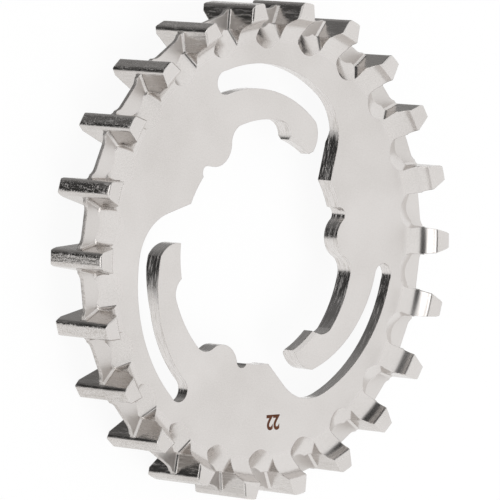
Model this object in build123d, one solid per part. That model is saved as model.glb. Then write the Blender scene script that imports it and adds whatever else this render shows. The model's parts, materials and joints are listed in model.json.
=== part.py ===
from build123d import *
import os
from math import asin, atan2, cos, degrees, pi, radians, sin, sqrt, tan

# Belt drive sprocket, machined from one piece of stainless steel. Millimetres.
# It lies on the back ends of its teeth: Z is the axle's line, the face that
# carries the marking looks up, and tooth 0 points along +X.

# Teeth and the belt that they drive
tooth_count = 22
belt_pitch = 11.0
pitch_line_offset = 0.565
rim_width = 11.0
tooth_foot_half_width = 2.08
tooth_foot_radius = 34.32
flank_angle = 13.4
tip_corner_radius = 0.9
tooth_end_chamfer = 0.24
land_end_radius = 0.36

# Centre fin that keeps the belt in line, and the ports that let mud out beside it
fin_thickness = 0.7
fin_foot_chamfer = 0.3
fin_edge_radius = 36.6
fin_flat_half_width = 1.9
fin_blend_radius = 2.05
port_radius = 2.7
port_corner_share = 0.64
port_centre_at_fin = 36.33
port_slope = 1.9

# Rim, seen in section: a round hollow in front, a cone behind
front_hollow_radius = 4.1
front_hollow_start_radius = 31.2
front_brow_radius = 0.8
back_cone_tip_radius = 37.05
back_cone_angle = 45.0

# Web between the rim and the hub, heights measured from the middle of the fin
web_front_height = 1.97
boss_back_depth = 0.86
relief_back_depth = 0.0
boss_radius = 22.4
boss_shoulder_width = 1.4

# Hub opening: three equal thirds, each with a lobe, a seat and a spring arm
third_count = 3
hub_pattern_angle = 3.7
seat_radius = 17.6
seat_end_angle = 30.8
lobe_height = 1.45
lobe_side_depth = 0.6
lobe_side_angle = 10.0
notch_depth = 0.8
notch_start_angle = 8.2
notch_peak_angle = 11.0
notch_end_angle = 15.3
mouth_radius = 8.0
mouth_touch_angle = 47.8
slot_outer_radius = 24.3
slot_outer_offset = 4.6
slot_outer_offset_angle = 113.0
slot_inner_radius = 20.2
slot_inner_offset = 5.3
slot_inner_offset_angle = 120.0
slot_outer_end_angle = 104.3
slot_end_angle = 109.2
slot_end_radius = 27.0
slot_inner_end_angle = 105.8
arm_root_angle = 56.5
arm_nose_angle = 52.4
arm_nose_share = 0.65
arm_tip_angle = 51.0
arm_seat_height = 0.2
arm_seat_end_angle = 67.6
arm_seat_chamfer = 0.55
arm_root_fillet = 0.4
pocket_depth = 2.26
pocket_start_angle = 76.0
pocket_end_angle = 102.5
step_depth = 1.4
step_angle = 70.3
rise_depth = 1.8
rise_angle = 106.6

pitch_angle = 360 / tooth_count
land_radius = belt_pitch * tooth_count / (2 * pi) - pitch_line_offset
half_width = rim_width / 2
half_fin = fin_thickness / 2
fin_foot_top = half_fin + fin_foot_chamfer
arm_seat_radius = seat_radius - arm_seat_height
pocket_radius = seat_radius + pocket_depth
brow_facets = 5
land_end_facets = 3
clear = 1.0
same_size = 0.001


def polar(radius, angle):
    """Return the point at this radius and angle, in degrees, of a sketch."""
    return Vector(radius * cos(radians(angle)), radius * sin(radians(angle)))


def on_offset_circle(radius, offset, offset_angle, angle):
    """Return the point of an off-centre circle that the axis sees at this angle."""
    turn = radians(angle - offset_angle)
    reach = offset * cos(turn) + sqrt(radius**2 - (offset * sin(turn)) ** 2)
    return polar(reach, angle)


def round_off(face, point, radius, facets):
    """Round the section's corner at this point with a few narrow facets."""
    corner = face.vertices().sort_by_distance(point)[0]
    edges = fillet(corner, radius).edges()
    arc = edges.filter_by(GeomType.CIRCLE).sort_by_distance(point)[0]
    others = [edge for edge in edges if not edge.is_same(arc)]
    steps = Polyline([arc @ (index / facets) for index in range(facets + 1)])
    return make_face(others + steps.edges())


def make_blank():
    """Turn the section of rim and web about the axis, without teeth or openings."""
    cone_run = (half_width - relief_back_depth) * tan(radians(back_cone_angle))
    hollow_centre = Vector(front_hollow_start_radius, web_front_height + front_hollow_radius)
    rise = half_width - hollow_centre.Y
    hollow_turn = degrees(asin(rise / front_hollow_radius))
    hollow_start = hollow_centre + polar(front_hollow_radius, -90)
    hollow_middle = hollow_centre + polar(front_hollow_radius, (hollow_turn - 90) / 2)
    hollow_end = hollow_centre + polar(front_hollow_radius, hollow_turn)
    land_ends = [(land_radius, half_width, 0), (land_radius, -half_width, 0)]
    hollow = ThreePointArc(hollow_start, hollow_middle, hollow_end)
    outside = Polyline(
        hollow_end,
        land_ends[0],
        land_ends[1],
        (back_cone_tip_radius, -half_width),
        (back_cone_tip_radius - cone_run, -relief_back_depth),
        (boss_radius + boss_shoulder_width, -relief_back_depth),
        (boss_radius, -boss_back_depth),
        (0, -boss_back_depth),
        (0, web_front_height),
        hollow_start,
    )
    face = make_face([hollow] + outside.edges())
    face = round_off(face, hollow_end, front_brow_radius, brow_facets)
    for point in land_ends:
        face = round_off(face, point, land_end_radius, land_end_facets)
    return revolve(Plane.XZ * face, Axis.Z)


def tooth_foot():
    """Return the foot of the next tooth's flank, seen from the middle of a tooth space."""
    turn = radians(pitch_angle / 2)
    outward = Vector(cos(turn), sin(turn))
    sideways = Vector(sin(turn), -cos(turn))
    return outward * tooth_foot_radius + sideways * tooth_foot_half_width


def flank_directions():
    """Return the directions along and away from the flank beside a tooth space."""
    lean = radians(flank_angle + pitch_angle / 2)
    return Vector(cos(lean), sin(lean)), Vector(-sin(lean), cos(lean))


def tooth_space_face():
    """Draw one tooth space, its middle along +X, with the rounded corners of both tips."""
    along, across = flank_directions()
    foot = tooth_foot()
    start = foot + across * tip_corner_radius
    reach = land_radius - tip_corner_radius
    middle = start.dot(along)
    run = sqrt(middle**2 + reach**2 - start.dot(start)) - middle
    corner = start + along * run
    outward = corner.normalized()
    bisector = (outward - across).normalized()
    flank_top = corner - across * tip_corner_radius
    land_edge = corner + outward * tip_corner_radius
    outside = land_edge + outward * clear
    side = [
        Line((foot.X, 0), foot),
        Line(foot, flank_top),
        ThreePointArc(flank_top, corner + bisector * tip_corner_radius, land_edge),
        Line(land_edge, outside),
        Line(outside, (outside.X, 0)),
    ]
    return make_face(side + [mirror(edge, Plane.XZ) for edge in side])


def flare_face(grow):
    """Draw the straight sides of a tooth space, moved into the metal by this much."""
    along, across = flank_directions()
    foot = tooth_foot() + across * grow
    outside = foot + along * (land_radius - tooth_foot_radius + clear)
    side = [
        Line((foot.X, 0), foot),
        Line(foot, outside),
        Line(outside, (outside.X, 0)),
    ]
    return make_face(side + [mirror(edge, Plane.XZ) for edge in side])


def make_port_cutter():
    """Cut a port: a trough with a round floor that slants from the fin down to the web."""
    slant = Vector(-port_slope, 0, 1)
    depth = port_radius / slant.length
    corner = depth * port_corner_share
    inset = port_radius - corner
    floor_radius = (inset**2 + depth**2 - corner**2) / (2 * (depth - corner))
    turn = atan2(floor_radius - depth, inset)
    centre = Vector(inset, 0)
    join = centre + Vector(cos(turn), -sin(turn)) * corner
    middle = centre + Vector(cos(turn / 2), -sin(turn / 2)) * corner
    side = [
        ThreePointArc((port_radius, 0), middle, join),
        Line((port_radius, 0), (port_radius, 2 * port_radius)),
        Line((port_radius, 2 * port_radius), (0, 2 * port_radius)),
    ]
    floor = ThreePointArc(join, (0, -depth), (-join.X, join.Y))
    trough = make_face(side + [mirror(edge, Plane.YZ) for edge in side] + [floor])
    across = Plane((port_centre_at_fin, 0, half_fin), x_dir=(0, -1, 0), z_dir=slant)
    reach = rim_width * slant.length
    channel = extrude(across * trough, reach, both=True)
    front = Pos(land_radius, 0, half_fin + half_width / 2) * Box(
        2 * land_radius, belt_pitch, half_width
    )
    return channel & front


def make_space_cutter():
    """Cut one tooth space in front of the fin, with its port and its broken edges."""
    foot_bottom = Pos(0, 0, half_fin) * flare_face(-fin_foot_chamfer)
    foot_top = Pos(0, 0, fin_foot_top) * flare_face(0)
    cutter = extrude(Pos(0, 0, fin_foot_top) * tooth_space_face(), half_width - fin_foot_top)
    narrow = Pos(0, 0, half_width - tooth_end_chamfer) * flare_face(0)
    wide = Pos(0, 0, half_width) * flare_face(tooth_end_chamfer)
    flare = loft([narrow, wide]) + extrude(wide, clear)
    return cutter + loft([foot_bottom, foot_top]) + flare + make_port_cutter()


def make_fin_cutter():
    """Hollow the fin's edge between two teeth, with a blend up to each tooth."""
    blend_end = fin_flat_half_width + fin_blend_radius
    top = fin_edge_radius + fin_blend_radius
    trough = Pos((fin_edge_radius + top) / 2, 0) * Rectangle(top - fin_edge_radius, 2 * blend_end)
    for side in (-1, 1):
        corner = trough.vertices().sort_by_distance((fin_edge_radius, side * blend_end, 0))[0]
        trough = fillet(corner, fin_blend_radius * 0.999)
    space = tooth_space_face()
    corner_band = Pos(land_radius, 0) * Rectangle(2 * tip_corner_radius, belt_pitch)
    opening = trough + (space & corner_band)
    return extrude(Pos(0, 0, -fin_foot_top) * opening, 2 * fin_foot_top)


def third_outline():
    """Draw one third of the hub opening, from the side of one lobe to the next."""
    outer_circle = (slot_outer_radius, slot_outer_offset, slot_outer_offset_angle)
    inner_circle = (slot_inner_radius, slot_inner_offset, slot_inner_offset_angle)
    slot_centre = polar(slot_outer_offset, slot_outer_offset_angle)
    lobe_side_radius = seat_radius + lobe_side_depth
    lobe_side = polar(lobe_side_radius, -lobe_side_angle)
    lobe_tip = polar(seat_radius - lobe_height, 0)
    notch_start = polar(seat_radius, notch_start_angle)
    notch_peak = polar(seat_radius + notch_depth, notch_peak_angle)
    notch_end = polar(seat_radius, notch_end_angle)
    seat_end = polar(seat_radius, seat_end_angle)

    # The mouth's circle touches the slot's outer circle from inside and passes
    # the seat's end on a straight tangent.
    mouth_reach = slot_outer_radius - mouth_radius
    mouth_centre = slot_centre + polar(mouth_reach, mouth_touch_angle)
    mouth_end = slot_centre + polar(slot_outer_radius, mouth_touch_angle)
    mouth_end_angle = degrees(atan2(mouth_end.Y, mouth_end.X))
    to_seat = seat_end - mouth_centre
    seat_turn = degrees(atan2(to_seat.Y, to_seat.X))
    tangent_turn = seat_turn + 90 - degrees(asin(mouth_radius / to_seat.length))
    mouth_start = mouth_centre + polar(mouth_radius, tangent_turn)
    mouth_middle = mouth_centre + polar(mouth_radius, (tangent_turn + mouth_touch_angle) / 2)

    slot_outer_end = on_offset_circle(*outer_circle, slot_outer_end_angle)
    outer_middle = on_offset_circle(*outer_circle, (mouth_end_angle + slot_outer_end_angle) / 2)
    slot_inner_end = on_offset_circle(*inner_circle, slot_inner_end_angle)
    arm_root = on_offset_circle(*inner_circle, arm_root_angle)
    inner_middle = on_offset_circle(*inner_circle, (arm_root_angle + slot_inner_end_angle) / 2)
    arm_nose_radius = arm_seat_radius + (arm_root.length - arm_seat_radius) * arm_nose_share
    arm_nose = polar(arm_nose_radius, arm_nose_angle)
    arm_tip = polar(arm_seat_radius, arm_tip_angle)
    arm_seat_end = polar(arm_seat_radius, arm_seat_end_angle)
    pocket_start = polar(pocket_radius, pocket_start_angle)
    pocket_end = polar(pocket_radius, pocket_end_angle)
    seat_middle = polar(seat_radius, (notch_end_angle + seat_end_angle) / 2)
    step = polar(seat_radius + step_depth, step_angle)
    rise = polar(seat_radius + rise_depth, rise_angle)
    arm_seat_middle = polar(arm_seat_radius, (arm_tip_angle + arm_seat_end_angle) / 2)
    pocket_middle = polar(pocket_radius, (pocket_start_angle + pocket_end_angle) / 2)
    next_side = polar(lobe_side_radius, 360 / third_count - lobe_side_angle)
    return [
        ThreePointArc(lobe_side, lobe_tip, notch_start),
        ThreePointArc(notch_start, notch_peak, notch_end),
        ThreePointArc(notch_end, seat_middle, seat_end),
        Line(seat_end, mouth_start),
        ThreePointArc(mouth_start, mouth_middle, mouth_end),
        ThreePointArc(mouth_end, outer_middle, slot_outer_end),
        ThreePointArc(slot_outer_end, polar(slot_end_radius, slot_end_angle), slot_inner_end),
        ThreePointArc(slot_inner_end, inner_middle, arm_root),
        ThreePointArc(arm_root, arm_nose, arm_tip),
        ThreePointArc(arm_tip, arm_seat_middle, arm_seat_end),
        ThreePointArc(arm_seat_end, step, pocket_start),
        ThreePointArc(pocket_start, pocket_middle, pocket_end),
        ThreePointArc(pocket_end, rise, next_side),
    ]


def make_hub_cutter():
    """Repeat the third round the axis and extrude the opening through the web."""
    edges = []
    for index in range(third_count):
        turn = hub_pattern_angle + index * 360 / third_count
        edges += [Rot(0, 0, turn) * edge for edge in third_outline()]
    opening = make_face(edges)
    arm_root = on_offset_circle(
        slot_inner_radius, slot_inner_offset, slot_inner_offset_angle, arm_root_angle
    )
    for index in range(third_count):
        turn = hub_pattern_angle + index * 360 / third_count
        corner = opening.vertices().sort_by_distance(arm_root.rotate(Axis.Z, turn))[0]
        opening = fillet(corner, arm_root_fillet)
    depth = web_front_height + boss_back_depth
    return extrude(Pos(0, 0, -boss_back_depth - clear) * opening, depth + 2 * clear)


def make_web():
    """Open the turned blank for the hub and break the edges of the arms' seats."""
    web = make_blank() - make_hub_cutter()
    rims = web.edges().filter_by(GeomType.CIRCLE)
    seats = [edge for edge in rims if abs(edge.radius - arm_seat_radius) < same_size]
    return chamfer(seats, arm_seat_chamfer)


def make_sprocket():
    """Cut the teeth, ports, fin and hub opening from the turned blank."""
    front_cutter = make_space_cutter()
    space_cutter = front_cutter + mirror(front_cutter, Plane.XY) + make_fin_cutter()
    cutters = []
    for index in range(tooth_count):
        cutters.append(Rot(0, 0, (index + 0.5) * pitch_angle) * space_cutter)
    return make_web() - cutters


os.makedirs("parts", exist_ok=True)
sprocket = Pos(0, 0, half_width) * make_sprocket()
export_step(sprocket, "parts/belt_sprocket.step")
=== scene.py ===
"""Dress a machined belt sprocket and set it in a pale studio.

All lengths are in metres, in the frame of the solid model: Z is the axle's
line, the floor is z = 0, and tooth 0 points along +X.
"""

import json
import logging
from dataclasses import dataclass, field
from enum import Enum
from math import cos, exp, pi, radians, sin

import bpy
from mathutils import Matrix, Vector


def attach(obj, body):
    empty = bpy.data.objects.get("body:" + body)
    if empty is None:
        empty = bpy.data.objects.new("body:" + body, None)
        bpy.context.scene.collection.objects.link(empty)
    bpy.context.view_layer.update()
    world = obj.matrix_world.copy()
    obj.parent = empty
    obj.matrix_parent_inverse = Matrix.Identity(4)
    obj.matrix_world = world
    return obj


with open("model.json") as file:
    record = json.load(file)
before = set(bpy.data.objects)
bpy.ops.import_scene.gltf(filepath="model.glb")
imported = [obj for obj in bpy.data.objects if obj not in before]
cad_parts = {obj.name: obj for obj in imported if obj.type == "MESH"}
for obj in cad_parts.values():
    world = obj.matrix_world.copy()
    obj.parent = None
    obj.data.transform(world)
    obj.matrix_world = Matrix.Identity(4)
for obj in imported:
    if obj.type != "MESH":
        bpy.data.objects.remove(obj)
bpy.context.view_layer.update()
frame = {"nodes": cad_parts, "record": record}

log = logging.getLogger("sprocket")

MM = 0.001
BODY = "root"
NODE = "belt_sprocket"
NOISE_MIDDLE = 0.5
# The Mix node's first and second input and its output, for each kind of value.
MIX_SOCKETS = {"FLOAT": (2, 3, 0), "RGBA": (6, 7, 2)}

Colour = tuple[float, float, float, float]
Point = tuple[float, float, float]
Socket = bpy.types.NodeSocket
Number = float | Socket
Value = Number | Colour


def deselect_all() -> None:
    """Leave no object selected, so that the next operator acts on its own piece."""
    if bpy.context.object is not None and bpy.context.object.mode != "OBJECT":
        bpy.ops.object.mode_set(mode="OBJECT")
    bpy.ops.object.select_all(action="DESELECT")


def make_active(piece: bpy.types.Object) -> None:
    """Select one object alone and make it the active one.

    Args:
        piece: The object that the next operators act on.
    """
    deselect_all()
    piece.select_set(True)
    bpy.context.view_layer.objects.active = piece


def direction(azimuth: float, elevation: float) -> Vector:
    """Give a unit vector from two angles.

    Args:
        azimuth: Degrees about Z, from +X towards +Y.
        elevation: Degrees above the floor.

    Returns:
        The unit vector.
    """
    turn, rise = radians(azimuth), radians(elevation)
    return Vector((cos(turn) * cos(rise), sin(turn) * cos(rise), sin(rise)))


@dataclass
class Nodes:
    """Short calls for adding and joining the nodes of one tree."""

    tree: bpy.types.NodeTree

    def add(self, kind: str, **settings: object) -> bpy.types.Node:
        """Add a node.

        Args:
            kind: The node's type name, without its ShaderNode prefix.
            settings: Properties of the node to set.

        Returns:
            The new node.
        """
        node = self.tree.nodes.new("ShaderNode" + kind)
        for name, value in settings.items():
            setattr(node, name, value)
        return node

    def join(self, source: Socket, target: Socket) -> None:
        """Link two sockets."""
        self.tree.links.new(source, target)

    def feed(self, target: Socket, value: Value) -> None:
        """Link a socket to the target, or set the target's own value.

        Args:
            target: The input socket.
            value: Another socket, or a constant.
        """
        if isinstance(value, Socket):
            self.join(value, target)
        else:
            target.default_value = value

    def math(self, operation: str, first: Number, second: Number = 0.0) -> Socket:
        """Add a Math node.

        Args:
            operation: The node's operation.
            first: A socket or a number.
            second: A socket or a number.

        Returns:
            The node's output.
        """
        node = self.add("Math", operation=operation)
        self.feed(node.inputs[0], first)
        self.feed(node.inputs[1], second)
        return node.outputs[0]

    def ramp(
        self, value: Number, low: float, high: float, start: float = 0.0, end: float = 1.0
    ) -> Socket:
        """Map a value smoothly from one range to another.

        Args:
            value: The socket to map.
            low: The value that gives start.
            high: The value that gives end.
            start: The result at low.
            end: The result at high.

        Returns:
            The mapped value.
        """
        node = self.add("MapRange", interpolation_type="SMOOTHSTEP")
        self.feed(node.inputs["Value"], value)
        names = ("From Min", "From Max", "To Min", "To Max")
        for name, number in zip(names, (low, high, start, end)):
            node.inputs[name].default_value = number
        return node.outputs["Result"]

    def mix(self, kind: str, factor: Number, first: Value, second: Value) -> Socket:
        """Add a Mix node and join the sockets for one kind of value.

        Args:
            kind: FLOAT for numbers, or RGBA for colours.
            factor: The share of the second one.
            first: A socket or a constant.
            second: A socket or a constant.

        Returns:
            The node's output of that kind.
        """
        node = self.add("Mix", data_type=kind)
        first_input, second_input, output = MIX_SOCKETS[kind]
        self.feed(node.inputs[0], factor)
        self.feed(node.inputs[first_input], first)
        self.feed(node.inputs[second_input], second)
        return node.outputs[output]

    def blend(self, factor: Number, first: Number, second: Number) -> Socket:
        """Mix two numbers, the factor being the share of the second one."""
        return self.mix("FLOAT", factor, first, second)

    def tint(self, factor: Number, first: Value, second: Value) -> Socket:
        """Mix two colours, the factor being the share of the second one."""
        return self.mix("RGBA", factor, first, second)

    def noise(
        self, place: Socket, scale: Point, detail: float = 3.0, roughness: float = 0.55
    ) -> Socket:
        """Add a noise that is stretched along the axes, its middle at 0.

        Args:
            place: The coordinates in metres.
            scale: Cells for each millimetre along X, Y and Z.
            detail: Octaves of finer noise.
            roughness: Weight of the finer octaves.

        Returns:
            The noise's value, about from -0.5 to 0.5.
        """
        mapping = self.add("Mapping", vector_type="POINT")
        self.join(place, mapping.inputs["Vector"])
        mapping.inputs["Scale"].default_value = [cells / MM for cells in scale]
        noise = self.add("TexNoise")
        self.join(mapping.outputs[0], noise.inputs["Vector"])
        noise.inputs["Scale"].default_value = 1.0
        noise.inputs["Detail"].default_value = detail
        noise.inputs["Roughness"].default_value = roughness
        return self.math("SUBTRACT", noise.outputs[0], NOISE_MIDDLE)


def empty_material(name: str) -> tuple[bpy.types.Material, Nodes]:
    """Make a material that has no nodes yet.

    Args:
        name: The material's name.

    Returns:
        The material and the short calls for its tree.
    """
    made = bpy.data.materials.new(name)
    made.use_nodes = True
    made.node_tree.nodes.clear()
    return made, Nodes(made.node_tree)


@dataclass(frozen=True)
class MachinedGrain:
    """The marks of machining, as one node group that the finishes share.

    Cells are counted for each millimetre. A facing is the size of the normal's
    part along Z: 1 on a flat face and 0 on an upright wall. An outward value is
    1 where the normal points away from the axle.
    """

    name: str = "machined grain"
    flat_facing: float = 0.999
    cut_facing: float = 0.985
    leaning_facing: float = 0.4
    upright_facing: float = 0.15
    rim_start: float = 30.0 * MM
    rim_end: float = 32.0 * MM
    fin_height: float = 5.5 * MM
    fin_near: float = 0.38 * MM
    fin_far: float = 0.5 * MM
    fin_end: float = 37.2 * MM
    land_start: float = 37.6 * MM
    flank_outward: float = 0.75
    land_outward: float = 0.95
    flank_share: float = 0.75
    axial_share: float = 0.7
    face_grit: float = 0.4
    wall_grit: float = 0.06
    fine_cells: float = 6.0
    cloud_cells: float = 0.09
    cloud_detail: float = 2.0
    speckle_cells: float = 3.5
    speckle_detail: float = 2.0
    speckle_roughness: float = 0.6
    across_cells: float = 3.0
    along_cells: float = 0.4
    streak_detail: float = 3.0
    streak_roughness: float = 0.65

    def masks(self, nodes: Nodes, place: Socket, normal: Socket) -> dict[str, Socket]:
        """Tell the kinds of surface apart.

        Args:
            nodes: The group's tree.
            place: The coordinates in metres.
            normal: The direction in which the surface faces.

        Returns:
            The masks. Cut is 1 wherever the surface isn't a flat face, Steep on
            the upright walls, Outside beyond the web, Rim on the upright walls
            there, Land on the tops of the teeth and Fin on the fin's edge.
        """
        facing = nodes.add("SeparateXYZ")
        nodes.join(normal, facing.inputs[0])
        level = nodes.math("ABSOLUTE", facing.outputs["Z"])
        cut = nodes.ramp(level, self.flat_facing, self.cut_facing)
        steep = nodes.ramp(level, self.leaning_facing, self.upright_facing)

        spot = nodes.add("SeparateXYZ")
        nodes.join(place, spot.inputs[0])
        across = nodes.math("MULTIPLY", spot.outputs["X"], spot.outputs["X"])
        up = nodes.math("MULTIPLY", spot.outputs["Y"], spot.outputs["Y"])
        reach = nodes.math("SQRT", nodes.math("ADD", across, up))
        outside = nodes.ramp(reach, self.rim_start, self.rim_end)
        rim = nodes.math("MULTIPLY", steep, outside)

        off_middle = nodes.math("SUBTRACT", spot.outputs["Z"], self.fin_height)
        off_middle = nodes.math("ABSOLUTE", off_middle)
        near_fin = nodes.ramp(off_middle, self.fin_far, self.fin_near)
        below_land = nodes.ramp(reach, self.land_start, self.fin_end)
        fin = nodes.math("MULTIPLY", nodes.math("MULTIPLY", near_fin, rim), below_land)

        along = nodes.add("VectorMath", operation="DOT_PRODUCT")
        nodes.join(place, along.inputs[0])
        nodes.join(normal, along.inputs[1])
        outward = nodes.math("ABSOLUTE", along.outputs["Value"])
        outward = nodes.math("DIVIDE", outward, reach)
        land = nodes.ramp(outward, self.flank_outward, self.land_outward)
        return {
            "Cut": cut,
            "Steep": steep,
            "Outside": outside,
            "Rim": rim,
            "Land": land,
            "Fin": fin,
        }

    def streaks(self, nodes: Nodes, place: Socket, masks: dict[str, Socket]) -> Socket:
        """Draw the tool's streaks on the upright walls.

        They run along the axle at the teeth, with speckle on the tops, and
        level round the web's openings.

        Args:
            nodes: The group's tree.
            place: The coordinates in metres.
            masks: The masks of the kinds of surface.

        Returns:
            The streaks' value, with its middle at 0.
        """
        wide, narrow = self.across_cells, self.along_cells
        detail, roughness = self.streak_detail, self.streak_roughness
        axial = nodes.noise(place, (wide, wide, narrow), detail, roughness)
        level = nodes.noise(place, (narrow, narrow, wide), detail, roughness)
        speckle = nodes.noise(
            place, (self.speckle_cells,) * 3, self.speckle_detail, self.speckle_roughness
        )
        speckle = nodes.math("MULTIPLY", speckle, masks["Land"])
        axial = nodes.math("ADD", nodes.math("MULTIPLY", axial, self.axial_share), speckle)
        strength = nodes.blend(masks["Land"], self.flank_share, 1.0)
        axial = nodes.math("MULTIPLY", axial, strength)
        streaks = nodes.blend(masks["Outside"], level, axial)
        return nodes.math("MULTIPLY", streaks, masks["Steep"])

    def group(self) -> bpy.types.NodeTree:
        """Build the group once, or give the one that is there.

        Returns:
            The node group. Tone is for colour, Scuff is the streaks alone,
            Height is for the bump, and Cut, Rim and Fin are masks.
        """
        tree = bpy.data.node_groups.get(self.name)
        if tree is not None:
            return tree
        tree = bpy.data.node_groups.new(self.name, "ShaderNodeTree")
        for label in ("Place", "Facing"):
            tree.interface.new_socket(label, in_out="INPUT", socket_type="NodeSocketVector")
        for label in ("Fine", "Streaks", "Clouds"):
            tree.interface.new_socket(label, in_out="INPUT", socket_type="NodeSocketFloat")
        for label in ("Tone", "Scuff", "Height", "Cut", "Rim", "Fin"):
            tree.interface.new_socket(label, in_out="OUTPUT", socket_type="NodeSocketFloat")
        nodes = Nodes(tree)
        start = tree.nodes.new("NodeGroupInput")
        end = tree.nodes.new("NodeGroupOutput")
        place = start.outputs["Place"]
        masks = self.masks(nodes, place, start.outputs["Facing"])

        streaks = self.streaks(nodes, place, masks)
        streaks = nodes.math("MULTIPLY", streaks, start.outputs["Streaks"])
        fine = nodes.noise(place, (self.fine_cells,) * 3)
        fine = nodes.math("MULTIPLY", fine, start.outputs["Fine"])
        clouds = nodes.noise(place, (self.cloud_cells,) * 3, self.cloud_detail)
        clouds = nodes.math("MULTIPLY", clouds, start.outputs["Clouds"])

        tone = nodes.math("ADD", nodes.math("ADD", fine, streaks), clouds)
        grit = nodes.blend(masks["Cut"], self.face_grit, self.wall_grit)
        height = nodes.math("ADD", nodes.math("MULTIPLY", fine, grit), streaks)
        nodes.join(tone, end.inputs["Tone"])
        nodes.join(streaks, end.inputs["Scuff"])
        nodes.join(height, end.inputs["Height"])
        for label in ("Cut", "Rim", "Fin"):
            nodes.join(masks[label], end.inputs[label])
        log.info("node group %s built", self.name)
        return tree

    def place_in(
        self, nodes: Nodes, fine: float, streaks: float, clouds: float
    ) -> bpy.types.Node:
        """Put the group in a material.

        Args:
            nodes: The material's tree.
            fine: Strength of the fine grain.
            streaks: Strength of the tool's streaks on the walls.
            clouds: Strength of the wide, soft changes.

        Returns:
            The group's node.
        """
        coordinates = nodes.add("TexCoord")
        node = nodes.add("Group", node_tree=self.group())
        nodes.join(coordinates.outputs["Object"], node.inputs["Place"])
        nodes.join(coordinates.outputs["Normal"], node.inputs["Facing"])
        node.inputs["Fine"].default_value = fine
        node.inputs["Streaks"].default_value = streaks
        node.inputs["Clouds"].default_value = clouds
        return node


@dataclass(frozen=True)
class SatinSteel:
    """Stainless steel with satin, faintly warm faces, smoother, streaked walls and painted
    shade on the teeth's upright walls.
    """

    light: Colour = (0.757, 0.73, 0.712, 1.0)
    # The dark end of the colour, for the walls' streaks and for the painted shade on the
    # teeth's walls.
    streak_and_shade_colour: Colour = (0.40, 0.37, 0.34, 1.0)
    light_tone: float = 0.5
    dark_tone: float = -1.3
    fine_strength: float = 0.9
    streak_strength: float = 1.0
    cloud_strength: float = 0.7
    # Painted shade: how far the colour of the teeth's upright walls is darkened.
    rim_painted_shade: float = 0.28
    wall_stain: float = 2.0
    rim_stain: float = 0.9
    face_roughness: float = 0.36
    roughness_change: float = 0.2
    wall_roughness: float = 0.16
    scuffed_roughness: float = 0.62
    smooth_scuff: float = -0.06
    rough_scuff: float = 0.26
    fin_roughness: float = 0.5
    edge_break: float = 0.2 * MM
    fin_round: float = 0.35 * MM
    edge_samples: int = 6
    bump: float = 1.0
    bump_depth: float = 0.045 * MM

    def colour(self, nodes: Nodes, grain: bpy.types.Node) -> Socket:
        """Mix the steel's colour from its light and dark ends.

        Args:
            nodes: The material's tree.
            grain: The machined grain in it.

        Returns:
            The colour, darker in the walls' streaks and darkened by painted shade on the
            teeth's upright walls.
        """
        strength = nodes.blend(grain.outputs["Rim"], self.wall_stain, self.rim_stain)
        stain = nodes.math("MULTIPLY", grain.outputs["Scuff"], strength)
        # Painted shade: the colour of the upright walls at the teeth is darkened.
        painted_shade = nodes.math("MULTIPLY", grain.outputs["Rim"], self.rim_painted_shade)
        tone = nodes.math("ADD", grain.outputs["Tone"], stain)
        tone = nodes.math("SUBTRACT", tone, painted_shade)
        share = nodes.ramp(tone, self.light_tone, self.dark_tone)
        return nodes.tint(share, self.light, self.streak_and_shade_colour)

    def dullness(self, nodes: Nodes, grain: bpy.types.Node) -> Socket:
        """Set the roughness of the faces, the walls and the fin's edge.

        Args:
            nodes: The material's tree.
            grain: The machined grain in it.

        Returns:
            The roughness.
        """
        change = nodes.math("MULTIPLY", grain.outputs["Tone"], self.roughness_change)
        face = nodes.math("ADD", change, self.face_roughness)
        wall = nodes.ramp(
            grain.outputs["Scuff"],
            self.smooth_scuff,
            self.rough_scuff,
            self.wall_roughness,
            self.scuffed_roughness,
        )
        wall = nodes.blend(grain.outputs["Fin"], wall, self.fin_roughness)
        return nodes.blend(grain.outputs["Cut"], face, wall)

    def relief(self, nodes: Nodes, grain: bpy.types.Node) -> Socket:
        """Break the edges, most of all the fin's, and raise the grain.

        Args:
            nodes: The material's tree.
            grain: The machined grain in it.

        Returns:
            The normal.
        """
        edges = nodes.add("Bevel", samples=self.edge_samples)
        radius = nodes.blend(grain.outputs["Fin"], self.edge_break, self.fin_round)
        nodes.join(radius, edges.inputs["Radius"])
        bump = nodes.add("Bump")
        bump.inputs["Strength"].default_value = self.bump
        bump.inputs["Distance"].default_value = self.bump_depth
        nodes.join(edges.outputs[0], bump.inputs["Normal"])
        nodes.join(grain.outputs["Height"], bump.inputs["Height"])
        return bump.outputs[0]

    def material(self) -> bpy.types.Material:
        """Build the material.

        Returns:
            The new material.
        """
        made, nodes = empty_material("satin steel")
        grain = MachinedGrain().place_in(
            nodes, self.fine_strength, self.streak_strength, self.cloud_strength
        )
        output = nodes.add("OutputMaterial")
        shader = nodes.add("BsdfPrincipled")
        shader.inputs["Metallic"].default_value = 1.0
        nodes.join(self.colour(nodes, grain), shader.inputs["Base Color"])
        nodes.join(self.dullness(nodes, grain), shader.inputs["Roughness"])
        nodes.join(self.relief(nodes, grain), shader.inputs["Normal"])
        nodes.join(shader.outputs[0], output.inputs["Surface"])
        return made


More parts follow.
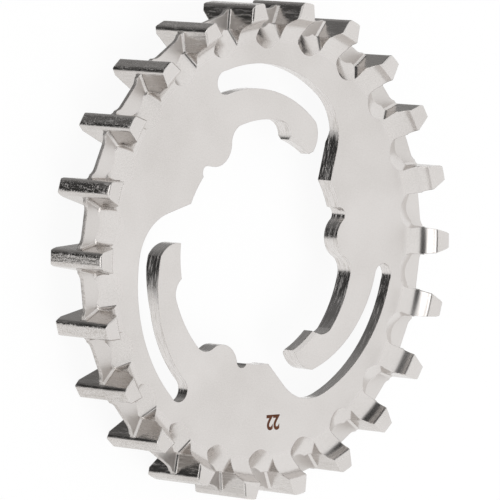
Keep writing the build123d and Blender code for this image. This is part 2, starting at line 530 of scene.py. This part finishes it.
@dataclass(frozen=True)
class AnnealedMark:
    """The brown oxide that a laser leaves on the steel, uneven in colour."""

    deep: Colour = (0.035, 0.01, 0.004, 1.0)
    pale: Colour = (0.15, 0.045, 0.014, 1.0)
    deep_tone: float = -0.3
    pale_tone: float = 0.4
    fine_strength: float = 1.8
    cloud_strength: float = 1.0
    metallic: float = 0.6
    roughness: float = 0.45
    roughness_change: float = 0.2

    def material(self) -> bpy.types.Material:
        """Build the material.

        Returns:
            The new material.
        """
        made, nodes = empty_material("annealed mark")
        grain = MachinedGrain().place_in(
            nodes, self.fine_strength, 0.0, self.cloud_strength
        )
        tone = grain.outputs["Tone"]
        output = nodes.add("OutputMaterial")
        shader = nodes.add("BsdfPrincipled")
        shader.inputs["Metallic"].default_value = self.metallic
        share = nodes.ramp(tone, self.deep_tone, self.pale_tone)
        nodes.join(nodes.tint(share, self.deep, self.pale), shader.inputs["Base Color"])
        change = nodes.math("MULTIPLY", tone, self.roughness_change)
        nodes.join(nodes.math("ADD", change, self.roughness), shader.inputs["Roughness"])
        nodes.join(shader.outputs[0], output.inputs["Surface"])
        return made


@dataclass
class SprocketBody:
    """The machined sprocket itself, whose shape is the solid model's."""

    node: bpy.types.Object
    finish: SatinSteel = field(default_factory=SatinSteel)

    def dress(self) -> None:
        """Give every slot of the solid's mesh the steel finish."""
        steel = self.finish.material()
        if not self.node.material_slots:
            self.node.data.materials.append(steel)
        for slot in self.node.material_slots:
            slot.material = steel
        log.info("%s dressed, %d faces", self.node.name, len(self.node.data.polygons))


@dataclass
class CountMark:
    """The number of teeth, marked on the front face with its top outwards.

    Its angle and tilt are in degrees, and the tilt turns it a little off radial.
    The font's size is size_per_height times the height of its digits.
    """

    face_height: float
    text: str = "22"
    radius: float = 26.6 * MM
    angle: float = 275.7
    tilt: float = -6.5
    digit_height: float = 2.2 * MM
    size_per_height: float = 1.42
    narrowing: float = 0.92
    stroke_growth: float = 0.11 * MM
    thickness: float = 0.008 * MM
    curve_steps: int = 6
    finish: AnnealedMark = field(default_factory=AnnealedMark)

    def build(self) -> bpy.types.Object:
        """Write the number, make it a mesh and lay it on the face.

        Returns:
            The mark, its place in its mesh.
        """
        deselect_all()
        bpy.ops.object.text_add(location=(0, 0, 0))
        mark = bpy.context.object
        mark.name = "tooth_count_mark"
        mark.data.body = self.text
        mark.data.align_x = "CENTER"
        mark.data.align_y = "CENTER"
        mark.data.size = self.digit_height * self.size_per_height
        mark.data.offset = self.stroke_growth
        mark.data.extrude = self.thickness / 2
        mark.data.resolution_u = self.curve_steps
        make_active(mark)
        bpy.ops.object.convert(target="MESH")
        mark = bpy.context.object
        turn = radians(self.angle)
        spot = Vector((cos(turn), sin(turn), 0)) * self.radius
        spot.z = self.face_height + self.thickness / 2
        facing = Matrix.Rotation(turn + radians(self.tilt) - pi / 2, 4, "Z")
        narrow = Matrix.Scale(self.narrowing, 4, (1, 0, 0))
        mark.matrix_world = Matrix.Translation(spot) @ facing @ narrow
        make_active(mark)
        bpy.ops.object.transform_apply(location=True, rotation=True, scale=True)
        mark.data.materials.clear()
        mark.data.materials.append(self.finish.material())
        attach(mark, BODY)
        log.info("%s laid on the face, %d faces", mark.name, len(mark.data.polygons))
        return mark


class Tone(Enum):
    """How bright a part of the studio looks to the metal."""

    BLACK = 0.04
    DARK = 0.14
    GREY = 0.3
    BRIGHT = 2.0


@dataclass(frozen=True)
class Panel:
    """A round part of the studio that the metal mirrors, such as a dark cloth.

    All its angles are in degrees. It is full inside inner and fades out to outer.
    """

    azimuth: float
    elevation: float
    inner: float
    outer: float
    tone: Tone


@dataclass(frozen=True)
class PhotoCamera:
    """The camera, as fitted to the teeth: turns in radians, lengths in millimetres.

    Only the two clips are in metres.
    """

    yaw: float = 0.79663
    pitch: float = 0.07396
    roll: float = -0.021436
    right: float = 0.7215
    up: float = 0.2061
    distance: float = 943.11
    focal_pixels: float = exp(8.730479)
    image_pixels: float = 500.0
    sensor: float = 36.0
    phase: float = 0.0052766
    centre_height: float = 5.5
    near_clip: float = 0.01
    far_clip: float = 100.0

    def build(self) -> bpy.types.Object:
        """Make the camera and use it.

        Returns:
            The camera's object.
        """
        turn = (
            Matrix.Rotation(self.roll, 3, "Z")
            @ Matrix.Rotation(self.pitch, 3, "X")
            @ Matrix.Rotation(self.yaw, 3, "Y")
        )
        back = turn.transposed()
        place = back @ Vector((-self.right, -self.up, self.distance))
        to_part = Matrix.Rotation(-self.phase, 3, "Z")
        place = to_part @ place + Vector((0, 0, self.centre_height))
        data = bpy.data.cameras.new("camera")
        data.sensor_fit = "HORIZONTAL"
        data.sensor_width = self.sensor
        data.lens = self.focal_pixels / self.image_pixels * self.sensor
        data.clip_start = self.near_clip
        data.clip_end = self.far_clip
        data.dof.use_dof = False
        camera = bpy.data.objects.new("camera", data)
        bpy.context.scene.collection.objects.link(camera)
        camera.matrix_world = Matrix.Translation(place * MM) @ (to_part @ back).to_4x4()
        bpy.context.scene.camera = camera
        return camera


@dataclass
class Studio:
    """A pale floor, soft light from all round and a few dark cloths.

    Angles are in degrees and lengths in metres. The panels are laid one over
    another in their order. The three low ones are what upright walls and the
    tops of the teeth mirror. The rest shade what leans: the hollows behind the
    teeth's ends, the chamfers and the roundings.
    """

    floor_size: float = 6.0
    floor_colour: Colour = (0.86, 0.86, 0.86, 1.0)
    floor_glow: float = 0.92
    light_colour: Colour = (1.0, 1.0, 1.0, 1.0)
    lamp_energy: float = 2.2
    lamp_size: float = 0.6
    lamp_distance: float = 0.8
    lamp_azimuth: float = -60.0
    lamp_elevation: float = 55.0
    panels: tuple[Panel, ...] = (
        Panel(100, -50, 44, 52, Tone.GREY),
        Panel(143, -48, 16, 40, Tone.DARK),
        Panel(161, -46, 13, 20, Tone.BLACK),
        Panel(98, -2, 26, 31, Tone.BLACK),
        Panel(128, 5, 16, 26, Tone.DARK),
        Panel(172, 2, 20, 32, Tone.BRIGHT),
        Panel(178, -28, 9, 14, Tone.BLACK),
        Panel(160, 45, 8, 15, Tone.BLACK),
        Panel(182, 42, 9, 18, Tone.BLACK),
    )

    def build_floor(self) -> bpy.types.Object:
        """Make the floor, which shows the object's shadow.

        The metal doesn't mirror it, but looks past it at the studio.

        Returns:
            The floor's object.
        """
        deselect_all()
        bpy.ops.mesh.primitive_plane_add(size=self.floor_size, location=(0, 0, 0))
        floor = bpy.context.object
        floor.name = "floor"
        made, nodes = empty_material("floor")
        output = nodes.add("OutputMaterial")
        matt = nodes.add("BsdfDiffuse")
        matt.inputs["Color"].default_value = self.floor_colour
        glow = nodes.add("Emission")
        glow.inputs["Color"].default_value = self.light_colour
        path = nodes.add("LightPath")
        seen = path.outputs["Is Camera Ray"]
        for ray in ("Is Glossy Ray", "Is Transmission Ray"):
            seen = nodes.math("MAXIMUM", seen, path.outputs[ray])
        mix = nodes.add("MixShader")
        nodes.join(nodes.math("MULTIPLY", seen, self.floor_glow), mix.inputs[0])
        nodes.join(matt.outputs[0], mix.inputs[1])
        nodes.join(glow.outputs[0], mix.inputs[2])
        nodes.join(mix.outputs[0], output.inputs["Surface"])
        floor.data.materials.append(made)
        floor.visible_glossy = False
        floor.visible_shadow = False
        return floor

    def build_world(self) -> bpy.types.World:
        """Make the world: white to the camera, and a studio with cloths to the rest.

        Returns:
            The world.
        """
        world = bpy.data.worlds.new("studio")
        bpy.context.scene.world = world
        world.use_nodes = True
        world.node_tree.nodes.clear()
        nodes = Nodes(world.node_tree)
        output = nodes.add("OutputWorld")
        look = nodes.add("TexCoord").outputs["Object"]
        level: Number = 1.0
        for panel in self.panels:
            toward = nodes.add("VectorMath", operation="DOT_PRODUCT")
            nodes.join(look, toward.inputs[0])
            toward.inputs[1].default_value = direction(panel.azimuth, panel.elevation)
            edge, core = cos(radians(panel.outer)), cos(radians(panel.inner))
            share = nodes.ramp(toward.outputs["Value"], edge, core)
            level = nodes.blend(share, level, panel.tone.value)
        studio = nodes.add("Background")
        studio.inputs["Color"].default_value = self.light_colour
        nodes.feed(studio.inputs["Strength"], level)
        white = nodes.add("Background")
        white.inputs["Color"].default_value = self.light_colour
        path = nodes.add("LightPath")
        mix = nodes.add("MixShader")
        nodes.join(path.outputs["Is Camera Ray"], mix.inputs[0])
        nodes.join(studio.outputs[0], mix.inputs[1])
        nodes.join(white.outputs[0], mix.inputs[2])
        nodes.join(mix.outputs[0], output.inputs["Surface"])
        return world

    def build_lamp(self) -> bpy.types.Object:
        """Hang one wide, soft lamp over the object.

        Returns:
            The lamp's object.
        """
        data = bpy.data.lights.new("soft lamp", "AREA")
        data.shape = "DISK"
        data.size = self.lamp_size
        data.energy = self.lamp_energy
        lamp = bpy.data.objects.new("soft lamp", data)
        bpy.context.scene.collection.objects.link(lamp)
        place = direction(self.lamp_azimuth, self.lamp_elevation) * self.lamp_distance
        facing = place.to_track_quat("Z", "Y").to_matrix().to_4x4()
        lamp.matrix_world = Matrix.Translation(place) @ facing
        lamp.visible_glossy = False
        return lamp

    def build(self) -> None:
        """Make the floor, the world, the lamp and the camera."""
        bpy.context.scene.view_settings.view_transform = "Standard"
        self.build_floor()
        self.build_world()
        self.build_lamp()
        PhotoCamera().build()
        log.info("studio built")


def main() -> None:
    """Build the scene."""
    logging.basicConfig(level=logging.INFO, format="%(message)s")
    mounts = {mount["name"]: mount for mount in frame["record"]["mounts"]}
    face_height = mounts["web_front"]["pos_m"][2]
    SprocketBody(frame["nodes"][NODE]).dress()
    CountMark(face_height).build()
    Studio().build()


if __name__ == "__main__":
    main()
